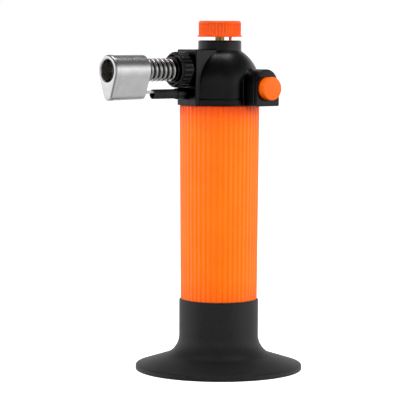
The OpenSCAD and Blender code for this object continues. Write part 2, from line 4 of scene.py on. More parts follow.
import bmesh
import bpy
import numpy as np
from mathutils import Euler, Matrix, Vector


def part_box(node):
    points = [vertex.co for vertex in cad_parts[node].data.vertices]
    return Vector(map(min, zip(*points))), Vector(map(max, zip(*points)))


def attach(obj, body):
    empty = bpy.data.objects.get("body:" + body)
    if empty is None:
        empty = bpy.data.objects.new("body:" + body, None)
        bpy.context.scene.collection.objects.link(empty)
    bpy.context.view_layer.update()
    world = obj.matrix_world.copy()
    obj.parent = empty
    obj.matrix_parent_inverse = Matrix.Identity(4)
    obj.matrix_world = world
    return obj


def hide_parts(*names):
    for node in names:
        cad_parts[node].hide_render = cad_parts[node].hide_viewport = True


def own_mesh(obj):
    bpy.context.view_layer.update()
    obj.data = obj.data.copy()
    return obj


# Butane micro torch. Shapes are worked out in millimetres in the CAD's frame and scaled on the way into
# Blender.
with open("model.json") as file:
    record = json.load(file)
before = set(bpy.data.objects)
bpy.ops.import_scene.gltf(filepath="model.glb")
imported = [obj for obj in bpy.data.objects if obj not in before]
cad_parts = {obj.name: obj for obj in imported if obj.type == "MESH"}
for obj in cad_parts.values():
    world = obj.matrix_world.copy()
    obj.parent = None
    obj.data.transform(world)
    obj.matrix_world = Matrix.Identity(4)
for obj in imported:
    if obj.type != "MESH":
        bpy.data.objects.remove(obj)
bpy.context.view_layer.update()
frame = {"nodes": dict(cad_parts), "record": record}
MM = 0.001


def span(node):
    """Lowest and highest corner of a CAD node, in millimetres."""
    low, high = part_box(node)
    return np.array(low) / MM, np.array(high) / MM


def middle(node):
    low, high = span(node)
    return (low + high) / 2


FOOT_R = span("base_stand")[1][1]
STAND_H = span("base_stand")[1][2]
HEAD_Z = span("head_housing")[0][2]
NECK_Z = span("fuel_tank")[1][2]
COLLAR_TOP = span("head_housing")[1][2]
BLOCK_X = span("head_housing")[1][0]
BEZEL_BACK, BEZEL_FRONT = span("igniter_bezel")[0][1], span("igniter_bezel")[1][1]
ARM_X = middle("igniter_bezel")[0]
BUTTON_Z = middle("ignition_button")[2]
NOZZLE_Z = middle("burner_tube")[2]
BURNER_R = (span("burner_tube")[1][1] - span("burner_tube")[0][1]) / 2
GUARD_X, GUARD_END = span("flame_guard")[0][0], span("flame_guard")[1][0]
LEAD_Z = middle("lead_sleeve")[2]

# Sizes shared by neighbouring pieces
COLLAR_R = 16.5
SOCKET_R = 14.6
SHELF_Z = 14.5
TANK_R = 16.5
TANK_FOOT_R = 15.9
NECK_R = 15.0
DOME_R = 16.7
DOME_Z = HEAD_Z + 8.1
HEAD_WALL = 1.6
ARM_HALF = 5.9
ARM_ARCH_Z = HEAD_Z + 9.15
BUTTON_R = 4.75
GUARD_R = 6.25
LOBE_R = 3.0
LOBE_REAR, LOBE_FRONT = 8.75, 9.0
SHEET = 0.5
MOUTH_R = 4.5

# Tones darker than this go to black in the view
BLACK_LEVEL = 0.004


# ---------------------------------------------------------------- shapes

def arc(centre, radius, start, end, steps):
    """Points along an arc, with its angles in degrees."""
    angles = np.radians(np.linspace(start, end, steps + 1))
    return [(centre[0] + radius * math.cos(a), centre[1] + radius * math.sin(a)) for a in angles]


def rounded(corners, steps=5):
    """Closed outline through (x, y) or (x, y, radius) corners, with an arc at each corner that has a radius."""
    points = []
    for i, corner in enumerate(corners):
        here = np.array(corner[:2], float)
        if len(corner) == 2:
            points.append(tuple(here))
            continue
        back = np.array(corners[i - 1][:2], float) - here
        ahead = np.array(corners[(i + 1) % len(corners)][:2], float) - here
        back, ahead = back / np.linalg.norm(back), ahead / np.linalg.norm(ahead)
        half = math.acos(np.clip(back @ ahead, -1, 1)) / 2
        bisector = (back + ahead) / np.linalg.norm(back + ahead)
        centre = here + bisector * corner[2] / math.sin(half)
        first = here + back * corner[2] / math.tan(half) - centre
        last = here + ahead * corner[2] / math.tan(half) - centre
        turn = math.pi - 2 * half
        for t in np.linspace(0, 1, steps + 1):
            spoke = math.sin((1 - t) * turn) * first + math.sin(t * turn) * last
            points.append(tuple(centre + spoke / math.sin(turn)))
    return points


def revolve(profile, steps, axis="z", centre=(0, 0, 0)):
    """Closed skin round an axis through centre. A profile point is (radius, height along the axis), and each of
    them may be an array with one value for each step."""
    turn = np.linspace(0, 2 * math.pi, steps, endpoint=False)
    points = np.zeros((len(profile), steps, 3))
    across = {"x": (1, 2, 0), "y": (0, 2, 1), "z": (0, 1, 2)}[axis]
    for ring, (radius, height) in zip(points, profile):
        ring[:, across[0]] = radius * np.cos(turn)
        ring[:, across[1]] = radius * np.sin(turn)
        ring[:, across[2]] = height
    rows = len(profile)
    faces = [(j * steps + i, (j + 1) % rows * steps + i, (j + 1) % rows * steps + (i + 1) % steps,
              j * steps + (i + 1) % steps) for j in range(rows) for i in range(steps)]
    return points.reshape(-1, 3) + np.array(centre), faces


def tube(path, radius, sides=16):
    """Round rod along a path, with rounded ends."""
    path = np.array(path, float)
    along = np.gradient(path, axis=0)
    along /= np.linalg.norm(along, axis=1)[:, None]
    side = np.cross(along[0], (0.3, 0.5, 0.81))
    points, faces = [], []
    ends = [(-0.8, 0.6), (-0.4, 0.92)], [(0.4, 0.92), (0.8, 0.6)]
    for i, here in enumerate(path):
        side = side - along[i] * (side @ along[i])
        side /= np.linalg.norm(side)
        up = np.cross(along[i], side)
        spokes = [(0, 1)]
        spokes = ends[0] + spokes if i == 0 else spokes + ends[1] if i == len(path) - 1 else spokes
        for shift, size in spokes:
            for a in np.linspace(0, 2 * math.pi, sides, endpoint=False):
                spoke = math.cos(a) * side + math.sin(a) * up
                points.append(here + radius * (shift * along[i] + size * spoke))
    rings = len(points) // sides
    for j in range(rings - 1):
        faces += [(j * sides + i, j * sides + (i + 1) % sides, (j + 1) * sides + (i + 1) % sides,
                   (j + 1) * sides + i) for i in range(sides)]
    faces += [tuple(range(sides)), tuple(range((rings - 1) * sides, rings * sides))]
    return np.array(points), faces


def reach(distance, steps, limit=40.0):
    """How far an outline lies from its origin at each step of a turn. distance(a, b) is negative inside it."""
    turn = np.linspace(0, 2 * math.pi, steps, endpoint=False)
    near, far = np.zeros(steps), np.full(steps, limit)
    for _ in range(40):
        mid = (near + far) / 2
        inside = distance(mid * np.cos(turn), mid * np.sin(turn)) < 0
        near, far = np.where(inside, mid, near), np.where(inside, far, mid)
    return near


def piece(name, shape, node, finish, body="torch_body", crease=32):
    """New piece that stands for a CAD node and rides on its body. crease is in degrees."""
    points, faces = shape
    mesh = bpy.data.meshes.new(name)
    mesh.from_pydata((np.array(points) * MM).tolist(), [], faces)
    shell = bmesh.new()
    shell.from_mesh(mesh)
    bmesh.ops.remove_doubles(shell, verts=shell.verts, dist=1e-8)
    bmesh.ops.recalc_face_normals(shell, faces=shell.faces)
    shell.to_mesh(mesh)
    shell.free()
    mesh.shade_smooth()
    mesh.set_sharp_from_angle(angle=math.radians(crease))
    obj = bpy.data.objects.new(name, mesh)
    bpy.context.scene.collection.objects.link(obj)
    obj.data.materials.append(finish)
    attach(obj, body)
    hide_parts(node)
    return obj


# ---------------------------------------------------------------- distance fields, in millimetres

def soft_union(a, b, blend):
    """Smaller of two distances, with a fillet of about the blend's size where they meet."""
    h = np.clip(0.5 + 0.5 * (b - a) / blend, 0, 1)
    return b + (a - b) * h - blend * h * (1 - h)


def soft_cut(a, b, blend):
    """Distance to a with b taken away, and the edge rounded."""
    return -soft_union(-a, b, blend)


def soft_common(a, b, blend):
    return -soft_union(-a, -b, blend)


def box_distance(p, low, high, round_r):
    low, high = np.array(low), np.array(high)
    q = np.abs(p - (low + high) / 2) - ((high - low) / 2 - round_r)
    outside = np.linalg.norm(np.maximum(q, 0), axis=1)
    return outside + np.minimum(q.max(axis=1), 0) - round_r


def rod_distance(p, axis, centre, radius, low, high, round_r=0.0):
    """Round rod along an axis, from low to high along it."""
    q = p - np.array(centre)
    others = [i for i in range(3) if i != axis]
    wide = np.hypot(q[:, others[0]], q[:, others[1]]) - (radius - round_r)
    tall = np.abs(p[:, axis] - (low + high) / 2) - ((high - low) / 2 - round_r)
    outside = np.hypot(np.maximum(wide, 0), np.maximum(tall, 0))
    return outside + np.minimum(np.maximum(wide, tall), 0) - round_r


def arch_distance(across, height, shrink=0.0, corner=0.5):
    """Arched outline of the igniter arm, round its own middle line."""
    half, top, bottom = ARM_HALF - shrink, ARM_ARCH_Z, HEAD_Z + shrink
    over = np.hypot(across, height - top) - half
    q1 = np.abs(across) - (half - corner)
    q2 = bottom + corner - height
    under = np.hypot(np.maximum(q1, 0), np.maximum(q2, 0)) + np.minimum(np.maximum(q1, q2), 0) - corner
    return np.where(height > top, over, under)


def dome_distance(p, radius):
    wide = np.hypot(p[:, 0], p[:, 1])
    up = np.maximum(p[:, 2] - DOME_Z, 0)
    return np.maximum(np.hypot(wide, up) - radius, HEAD_Z - 5 - p[:, 2])


def head_distance(p):
    """Head: dome, front block, lower lip, collar and igniter arm, hollowed, with the recess and the bores."""
    block_half, block_wall, block_top = 6.4, 1.8, HEAD_Z + 22.9
    collar_r, recess_r, recess_z, floor_t = 8.95, 7.4, HEAD_Z + 23.1, 2.0
    lip_r, lip_h, arm_bore, valve_hole = 17.1, 2.6, 5.05, 4.6
    centre_line = (0, 0, 0)
    outer = dome_distance(p, DOME_R)
    block = box_distance(p, (-4, -block_half, HEAD_Z - 5), (BLOCK_X, block_half, block_top), 0.45)
    outer = soft_union(outer, block, 0.15)
    outer = soft_union(outer, rod_distance(p, 2, centre_line, lip_r, HEAD_Z - 5, HEAD_Z + lip_h, 0.3), 0.5)
    outer = soft_union(outer, rod_distance(p, 2, centre_line, collar_r, DOME_Z, COLLAR_TOP, 0.6), 0.5)
    arm = arch_distance(p[:, 0] - ARM_X, p[:, 2])
    arm = soft_common(arm, p[:, 1] - BEZEL_BACK, 0.5)
    arm = np.maximum(arm, -p[:, 1])
    outer = soft_union(outer, arm, 0.4)
    outer = soft_common(outer, HEAD_Z - p[:, 2], 0.4)
    inner = dome_distance(p, DOME_R - HEAD_WALL)
    room = box_distance(p, (-4, block_wall - block_half, HEAD_Z - 5),
                        (BLOCK_X - block_wall, block_half - block_wall, block_top - block_wall), 0.3)
    inner = np.minimum(inner, room)
    floor = rod_distance(p, 2, centre_line, collar_r - 0.5, recess_z - floor_t, COLLAR_TOP)
    inner = np.maximum(inner, -floor)
    arm_line = (ARM_X, 0, BUTTON_Z)
    bores = [
        rod_distance(p, 1, arm_line, arm_bore, 0, BEZEL_BACK + 5),
        rod_distance(p, 2, centre_line, valve_hole, DOME_Z, COLLAR_TOP + 5),
        rod_distance(p, 0, (0, 0, NOZZLE_Z), 4.1, BLOCK_X - 5, BLOCK_X + 5),
        rod_distance(p, 0, (0, 0, LEAD_Z), 2.0, BLOCK_X - 5, BLOCK_X + 5),
    ]
    turn = np.degrees(np.arctan2(p[:, 1], p[:, 0])) % 360
    rib_r, rib_h, rib_from, rib_to = 6.5, 3.2, 7.5, 86.5
    in_rib = (turn > rib_from) & (turn < rib_to) & (p[:, 2] < recess_z + rib_h)
    recess = rod_distance(p, 2, centre_line, recess_r, recess_z, COLLAR_TOP + 5, 0.2)
    smaller = rod_distance(p, 2, centre_line, rib_r, recess_z, COLLAR_TOP + 5, 0.2)
    bores.append(np.where(in_rib, smaller, recess))
    screw_x, screw_y, screw_z = 1.5 - DOME_R, 3.2, HEAD_Z + 4.2
    for y in (-screw_y, screw_y):
        bores.append(rod_distance(p, 0, (0, y, screw_z), 0.9, -20, -12))
        bores.append(rod_distance(p, 0, (0, y, screw_z), 1.65, -20, screw_x))
    shell = soft_cut(outer, inner, 0.2)
    for bore in bores:
        shell = soft_cut(shell, bore, 0.25)
    return shell


def slope(distance, p, gap=0.02):
    """Gradient of a distance field at each point."""
    steps = np.eye(3) * gap
    return np.stack([(distance(p + s) - distance(p - s)) / (2 * gap) for s in steps], axis=1)


def settle(obj, distance, rounds=6):
    """Moves a mesh's points onto the surface where the distance is zero, and takes its shading from there."""
    count = len(obj.data.vertices)
    p = np.zeros(count * 3)
    obj.data.vertices.foreach_get("co", p)
    p = p.reshape(-1, 3) / MM
    for _ in range(rounds):
        g = slope(distance, p)
        step = distance(p)[:, None] * g / np.maximum((g * g).sum(axis=1), 0.25)[:, None]
        p -= np.clip(step, -0.25, 0.25)
    obj.data.vertices.foreach_set("co", (p * MM).ravel())
    obj.data.update()
    normals = slope(distance, p, 0.05)
    normals /= np.maximum(np.linalg.norm(normals, axis=1), 1e-6)[:, None]
    obj.data.shade_smooth()
    obj.data.normals_split_custom_set_from_vertices(normals.tolist())


# ---------------------------------------------------------------- materials

def new_material(name, **sockets):
    """Principled material. A keyword is the start of a socket's name in lower case, with _ for a space."""
    made = bpy.data.materials.new(name)
    made.use_nodes = True
    for key, value in sockets.items():
        for socket in made.node_tree.nodes["Principled BSDF"].inputs:
            if socket.name.lower().replace(" ", "_") == key:
                socket.default_value = value
    return made


def add_node(tree, kind, **settings):
    made = tree.nodes.new(kind)
    for key, value in settings.items():
        setattr(made, key, value)
    return made


def grain(tree, size, stretch=(1, 1, 1), detail=3.0, kind="ShaderNodeTexNoise"):
    """Noise whose grains are about size millimetres across, longer where stretch is below 1."""
    place = add_node(tree, "ShaderNodeTexCoord")
    scale = add_node(tree, "ShaderNodeMapping")
    scale.inputs["Scale"].default_value = [s / (size * MM) for s in stretch]
    tree.links.new(place.outputs["Object"], scale.inputs["Vector"])
    noise = add_node(tree, kind)
    noise.inputs["Scale"].default_value = 1.0
    if kind == "ShaderNodeTexNoise":
        noise.inputs["Detail"].default_value = detail
    tree.links.new(scale.outputs["Vector"], noise.inputs["Vector"])
    return noise.outputs[0]


def paint(tree, pattern, colours, low=0.3, high=0.7):
    """Base colour that follows a pattern from the first colour to the last."""
    ramp = add_node(tree, "ShaderNodeValToRGB")
    ramp.color_ramp.elements[0].position, ramp.color_ramp.elements[1].position = low, high
    ramp.color_ramp.elements[0].color = (*colours[0], 1)
    ramp.color_ramp.elements[1].color = (*colours[-1], 1)
    tree.links.new(pattern, ramp.inputs["Fac"])
    tree.links.new(ramp.outputs["Color"], tree.nodes["Principled BSDF"].inputs["Base Color"])


def roughen(tree, pattern, low, high):
    spread = add_node(tree, "ShaderNodeMapRange")
    spread.inputs["From Min"].default_value, spread.inputs["From Max"].default_value = 0.3, 0.7
    spread.inputs["To Min"].default_value, spread.inputs["To Max"].default_value = low, high
    tree.links.new(pattern, spread.inputs["Value"])
    tree.links.new(spread.outputs["Result"], tree.nodes["Principled BSDF"].inputs["Roughness"])


def bumps(tree, *patterns):
    """Relief from (pattern, height in millimetres) pairs, each on top of the one before."""
    normal = None
    for pattern, height in patterns:
        bump = add_node(tree, "ShaderNodeBump")
        bump.inputs["Distance"].default_value = height * MM
        tree.links.new(pattern, bump.inputs["Height"])
        if normal:
            tree.links.new(normal, bump.inputs["Normal"])
        normal = bump.outputs["Normal"]
    tree.links.new(normal, tree.nodes["Principled BSDF"].inputs["Normal"])


def plastic(name, dark, light, rough, grain_size, grain_height, cloud=6.0, **sockets):
    """Moulded plastic: slow colour change, fine surface grain and a polish that wanders a little."""
    made = new_material(name, **sockets)
    tree = made.node_tree
    clouds = grain(tree, cloud)
    fine = grain(tree, grain_size, detail=2.0)
    paint(tree, clouds, (dark, light))
    roughen(tree, fine, *rough)
    bumps(tree, (clouds, grain_height * 0.6), (fine, grain_height))
    return made


def speckled(name, dark, light, rough, grain_size, grain_height, **sockets):
    """Plastic with a spark-eroded grain, whose high spots are lighter."""
    made = new_material(name, **sockets)
    tree = made.node_tree
    fine = grain(tree, grain_size, detail=4.0)
    pits = grain(tree, grain_size * 1.6, kind="ShaderNodeTexVoronoi")
    paint(tree, fine, (dark, light), 0.35, 0.75)
    roughen(tree, fine, *rough)
    bumps(tree, (pits, grain_height), (fine, grain_height))
    return made


def shade_by_height(made, stops):
    """Multiplies a material's base colour by a painted shade that changes with height. A stop is (millimetres,
    tint).
    """
    tree = made.node_tree
    place = add_node(tree, "ShaderNodeTexCoord")
    split = add_node(tree, "ShaderNodeSeparateXYZ")
    tree.links.new(place.outputs["Object"], split.inputs["Vector"])
    level = add_node(tree, "ShaderNodeMapRange")
    level.inputs["From Min"].default_value = stops[0][0] * MM
    level.inputs["From Max"].default_value = stops[-1][0] * MM
    tree.links.new(split.outputs["Z"], level.inputs["Value"])
    painted_shade = add_node(tree, "ShaderNodeValToRGB")
    ramp, tall = painted_shade.color_ramp, stops[-1][0] - stops[0][0]
    for height, _ in stops[1:-1]:
        ramp.elements.new((height - stops[0][0]) / tall)
    for element, (_, tint) in zip(ramp.elements, stops):
        element.color = (*tint, 1)
    tree.links.new(level.outputs["Result"], painted_shade.inputs["Fac"])
    base = tree.nodes["Principled BSDF"].inputs["Base Color"]
    mix = add_node(tree, "ShaderNodeMix", data_type="RGBA", blend_type="MULTIPLY")
    factor, first, second = [s for s in mix.inputs if s.enabled]
    factor.default_value = 1.0
    tree.links.new(base.links[0].from_socket, first)
    tree.links.new(painted_shade.outputs["Color"], second)
    tree.links.new([s for s in mix.outputs if s.enabled][0], base)


def metal(name, dark, light, rough, line_size, stretch, line_height, **sockets):
    """Metal with fine lines left by rolling, brushing or turning, along the axis where stretch is small."""
    made = new_material(name, metallic=1.0, **sockets)
    tree = made.node_tree
    lines = grain(tree, line_size, stretch, detail=5.0)
    clouds = grain(tree, 4.0)
    paint(tree, clouds, (dark, light))
    roughen(tree, lines, *rough)
    bumps(tree, (lines, line_height))
    return made


def make_materials():
    """One material for each slot of the record."""
    made = {
        "stand_plastic": speckled("stand_plastic", (0.004, 0.004, 0.0042), (0.022, 0.022, 0.0225), (0.4, 0.6),
                                  0.33, 0.02, specular_ior_level=0.4),
        "tank_nylon": plastic("tank_nylon", (0.93, 0.158, 0.001), (0.97, 0.178, 0.002), (0.32, 0.42), 0.25,
                              0.004, cloud=9.0, specular_ior_level=0.3),
        "inner_plastic": plastic("inner_plastic", (0.02, 0.02, 0.022), (0.035, 0.035, 0.037), (0.4, 0.55), 0.3,
                                 0.01),
        "seal_rubber": plastic("seal_rubber", (0.01, 0.01, 0.01), (0.02, 0.02, 0.02), (0.6, 0.8), 0.15, 0.01),
        "wick_felt": speckled("wick_felt", (0.55, 0.53, 0.48), (0.8, 0.78, 0.73), (0.85, 0.98), 0.2, 0.06),
        "valve_brass": metal("valve_brass", (0.52, 0.34, 0.12), (0.68, 0.48, 0.19), (0.22, 0.36), 0.12,
                             (0.1, 0.1, 1.0), 0.003),
        "spring_wire": metal("spring_wire", (0.66, 0.66, 0.67), (0.82, 0.82, 0.83), (0.14, 0.26), 0.1,
                             (1.0, 0.3, 0.3), 0.002),
        "head_plastic": plastic("head_plastic", (0.0025, 0.0025, 0.0028), (0.0045, 0.0045, 0.0048),
                                (0.26, 0.36), 0.2, 0.003, specular_ior_level=0.45),
        "screw_steel": metal("screw_steel", (0.36, 0.36, 0.37), (0.55, 0.55, 0.56), (0.25, 0.4), 0.08,
                             (1.0, 0.3, 0.3), 0.003),
        "knob_plastic": plastic("knob_plastic", (0.74, 0.072, 0.002), (0.80, 0.088, 0.003), (0.30, 0.40), 0.2,
                                0.004, specular_ior_level=0.3),
        "ring_plastic": plastic("ring_plastic", (0.0035, 0.0035, 0.0038), (0.007, 0.007, 0.0073), (0.28, 0.4),
                                0.18, 0.005, specular_ior_level=0.5),
        "burner_steel": metal("burner_steel", (0.26, 0.24, 0.21), (0.46, 0.44, 0.41), (0.3, 0.48), 0.15,
                              (0.1, 1.0, 1.0), 0.004),
        "guard_steel": metal("guard_steel", (0.78, 0.78, 0.785), (0.86, 0.86, 0.865), (0.22, 0.32), 0.1,
                             (0.04, 1.0, 1.0), 0.0012),
        "sleeve_plastic": plastic("sleeve_plastic", (0.008, 0.008, 0.008), (0.018, 0.018, 0.0185), (0.5, 0.65),
                                  0.22, 0.012),
        "insulator_ceramic": plastic("insulator_ceramic", (0.45, 0.44, 0.42), (0.62, 0.61, 0.59), (0.5, 0.65),
                                     0.15, 0.006),
        "lead_jacket": plastic("lead_jacket", (0.012, 0.012, 0.012), (0.03, 0.03, 0.03), (0.4, 0.55), 0.2,
                               0.01),
        "button_plastic": plastic("button_plastic", (0.84, 0.115, 0.0025), (0.9, 0.13, 0.0035), (0.28, 0.38),
                                  0.2, 0.004, specular_ior_level=0.3),
        "plunger_plastic": plastic("plunger_plastic", (0.66, 0.65, 0.61), (0.78, 0.77, 0.73), (0.4, 0.5), 0.25,
                                   0.006),
    }
    # Painted shade: the tank's orange darkens and reddens under the head and towards the stand's collar.
    shade_by_height(made["tank_nylon"], (
        (STAND_H, (0.97, 0.72, 0.3)), (STAND_H + 9, (1.0, 0.95, 0.8)), (STAND_H + 36, (1.0, 1.0, 1.0)),
        (HEAD_Z - 12, (1.0, 0.97, 0.9)), (HEAD_Z - 5, (0.97, 0.75, 0.5)), (HEAD_Z, (0.78, 0.28, 0.2))))
    return made


# ---------------------------------------------------------------- stand and tank

def make_stand(mats):
    """Flared foot with a vertical rim, fillet, collar and the shelf that the tank stands on."""
    shelf_r, shelf_t, skin, foot_ring = 13.0, 2.0, 2.0, 2.0
    fillet_r, fillet_z, tilt = 9.0, 14.5, 17.8
    centre = (COLLAR_R + fillet_r, fillet_z)
    top = arc(centre, fillet_r, 270 - tilt, 180, 16)
    fall = math.tan(math.radians(tilt))
    shelf_angle = 180 + math.degrees(math.asin((fillet_z - SHELF_Z + shelf_t) / (fillet_r + skin)))
    under = arc(centre, fillet_r + skin, shelf_angle, 270 - tilt, 16)
    rim_z = top[0][1] - (FOOT_R - top[0][0]) * fall
    under_r = FOOT_R - foot_ring - 0.8
    under_z = under[-1][1] - (under_r - under[-1][0]) * fall
    profile = rounded(
        [(FOOT_R - foot_ring, 0, 0.15), (FOOT_R, 0, 0.35), (FOOT_R, rim_z, 0.8)] + top
        + [(COLLAR_R, STAND_H, 0.45), (SOCKET_R, STAND_H, 0.25), (SOCKET_R, SHELF_Z)]
        + [(shelf_r, SHELF_Z, 0.2), (shelf_r, SHELF_Z - shelf_t, 0.2)] + under
        + [(under_r, under_z), (FOOT_R - foot_ring - 0.2, 0.9)])
    piece("stand_shell", revolve(profile, 256), "base_stand", mats["stand_plastic"])


def make_tank(mats):
    """Tank with soft ribs, a slight taper, the neck under the head and the spigot in the stand."""
    ribs, depth, per_rib = 48, 0.34, 12
    main_r, spigot_in_r, floor_t = 14.1, 12.75, 2.2
    boss_r, boss_z, hole_r, edge = 5.5, 22.0, 3.0, 0.3
    steps = ribs * per_rib
    turn = np.linspace(0, 2 * math.pi, steps, endpoint=False)
    groove = np.abs(np.sin(turn * ribs / 2)) ** 3
    spigot_r = SOCKET_R - 0.05
    lowest, highest = STAND_H + 0.02, HEAD_Z - 0.02
    wall = [(TANK_FOOT_R - depth * groove - edge, lowest)]
    for z in np.linspace(lowest + edge, highest - edge, 40):
        share = (z - STAND_H) / (HEAD_Z - STAND_H)
        wall.append((TANK_FOOT_R + (TANK_R - TANK_FOOT_R) * share - depth * groove, z))
    wall.append((TANK_R - depth * groove - edge, highest))
    step_z, floor_z = STAND_H + 2, SHELF_Z + floor_t
    inside = [(NECK_R, highest), (NECK_R, NECK_Z), (main_r, NECK_Z), (main_r, step_z), (spigot_in_r, step_z),
              (spigot_in_r, floor_z), (boss_r, floor_z), (boss_r, boss_z), (hole_r, boss_z), (hole_r, SHELF_Z),
              (spigot_r, SHELF_Z), (spigot_r, lowest)]
    tank = piece("tank_shell", revolve(wall + inside, steps), "fuel_tank", mats["tank_nylon"])
    tank.visible_glossy = False         # keeps its orange out of the steel and the gloss above it


# ---------------------------------------------------------------- head, button and knob

def make_head(mats):
    """Head: the CAD solid's own mesh, remeshed finely and settled onto a surface with blended edges."""
    source = frame["nodes"]["head_housing"]
    obj = bpy.data.objects.new("head_shell", source.data.copy())
    bpy.context.scene.collection.objects.link(obj)
    remesh = obj.modifiers.new("remesh", "REMESH")
    remesh.mode, remesh.voxel_size = "VOXEL", 0.3 * MM
    graph = bpy.context.evaluated_depsgraph_get()
    obj.data = bpy.data.meshes.new_from_object(obj.evaluated_get(graph))
    obj.modifiers.clear()
    settle(obj, head_distance)
    obj.data.materials.clear()
    obj.data.materials.append(mats["head_plastic"])
    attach(obj, "torch_body")
    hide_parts("head_housing")


def make_bezel(mats):
    """End plate round the button, with rounded edges and an arched top that slopes back."""
    steps, gap, edge, lip = 256, 0.12, 0.25, 0.14
    brow_t, brow_r, brow_fade = 1.05, 3.2, 2.0
    hole_r = BUTTON_R + 0.12
    turn = np.linspace(0, 2 * math.pi, steps, endpoint=False)

    def outline(shrink):
        return reach(lambda a, b: arch_distance(a, b + BUTTON_Z, shrink), steps)

    def flat(across, up):
        """Outline of the front's flat part: an ellipse above the arch's centre, the bezel's own below."""
        over = up + BUTTON_Z - ARM_ARCH_Z
        ellipse = np.hypot(across / (ARM_HALF - edge), over / brow_r) - 1
        return np.where(over > 0, ellipse, arch_distance(across, up + BUTTON_Z, edge))

    over = outline(0) * np.sin(turn) + BUTTON_Z - ARM_ARCH_Z
    drop = brow_t * np.clip(over / brow_fade, 0, 1)
    profile = [(outline(0.12), BEZEL_BACK + gap)]
    for a in np.radians(np.linspace(0, 90, 6)):
        height = BEZEL_FRONT - edge * (1 - math.sin(a)) - drop * (1 - edge / 2)
        profile.append((outline(edge * (1 - math.cos(a))), height))
    flat_r = reach(flat, steps)
    for share in (0.0, 0.5):
        profile.append((flat_r * (1 - share) + (hole_r + lip) * share, BEZEL_FRONT))
    for a in np.radians(np.linspace(90, 0, 5)):
        profile.append((hole_r + lip * (1 - math.cos(a)), BEZEL_FRONT - lip * (1 - math.sin(a))))
    profile.append((hole_r, BEZEL_BACK + gap))
    shape = revolve(profile, steps, "y", (ARM_X, 0, BUTTON_Z))
    piece("bezel_plate", shape, "igniter_bezel", mats["head_plastic"])


def make_button(mats):
    """Igniter button: crowned cap with a rounded edge and a flange behind the bezel."""
    low, high = span("ignition_button")
    back, face = low[1], high[1]
    flange_r, crown = 4.98, 0.22
    profile = rounded(
        [(0, back), (flange_r, back, 0.1), (flange_r, BEZEL_BACK - 0.15, 0.1), (BUTTON_R, BEZEL_BACK - 0.15),
         (BUTTON_R, face - crown, 0.45)]
        + [(r, face - crown * (r / BUTTON_R) ** 2) for r in np.linspace(BUTTON_R - 0.8, 0, 8)], 8)
    shape = revolve(profile, 128, "y", (ARM_X, 0, BUTTON_Z))
    piece("button_cap", shape, "ignition_button", mats["button_plastic"], "igniter")


def make_knob(mats):
    """Gas knob: ribbed side under a smooth rounded brow, a thin lip, a hub and the stop lug."""
    low, high = span("regulator_knob")
    knob_r, lip_r, ribs, per_rib = 8.75, 9.25, 42, 10
    top, lip_z = high[2], span("head_housing")[1][2] + 1.45
    cup_r, roof, hub_r, bore = 7.4, top - 1.5, 3.2, 1.95
    brow, depth, round_r = 1.15, 0.36, 0.75
    steps = ribs * per_rib
    turn = np.linspace(0, 2 * math.pi, steps, endpoint=False)
    groove = np.abs(np.sin(turn * ribs / 2)) ** 1.6
    profile = [(lip_r - 0.15, lip_z), (lip_r, lip_z + 0.15), (lip_r, lip_z + 0.45), (lip_r - 0.15, lip_z + 0.6),
               (knob_r - depth * groove * 0.5, lip_z + 0.75)]
    for z in np.linspace(lip_z + 1.0, top - brow - 0.3, 6):
        profile.append((knob_r - depth * groove, z))
    profile += [(knob_r - depth * groove * 0.6, top - brow - 0.1), (knob_r, top - brow + 0.1)]
    for a in np.radians(np.linspace(0, 90, 7)):
        profile.append((knob_r - round_r * (1 - math.cos(a)), top - round_r * (1 - math.sin(a))))
    profile += [(r, top) for r in (6.6, 4.0, 0.0)]
    profile += [(0, roof + 0.05), (bore, roof + 0.05), (bore, lip_z), (hub_r, lip_z), (hub_r, roof),
                (cup_r, roof), (cup_r, lip_z)]
    piece("knob_cap", revolve(profile, steps), "regulator_knob", mats["knob_plastic"],
          "regulator")
    lug_from, lug_to, lug_in, lug_out = 88.0, 96.0, 6.3, 7.1
    points, faces = [], []
    sweep = np.radians(np.linspace(lug_from, lug_to, 9))
    for a in sweep:
        for r, z in ((lug_in, low[2]), (lug_out, low[2]), (lug_out, roof + 0.5), (lug_in, roof + 0.5)):
            points.append((r * math.cos(a), r * math.sin(a), z))
    for i in range(len(sweep) - 1):
        faces += [(4 * i + j, 4 * i + (j + 1) % 4, 4 * i + 4 + (j + 1) % 4, 4 * i + 4 + j) for j in range(4)]
    faces += [(0, 1, 2, 3), tuple(4 * len(sweep) - 4 + j for j in range(4))]
    lug = piece("knob_lug", (points, faces), "regulator_knob", mats["knob_plastic"],
                "regulator")
    soften = lug.modifiers.new("edges", "BEVEL")
    soften.width, soften.segments = 0.12 * MM, 2


# ---------------------------------------------------------------- burner

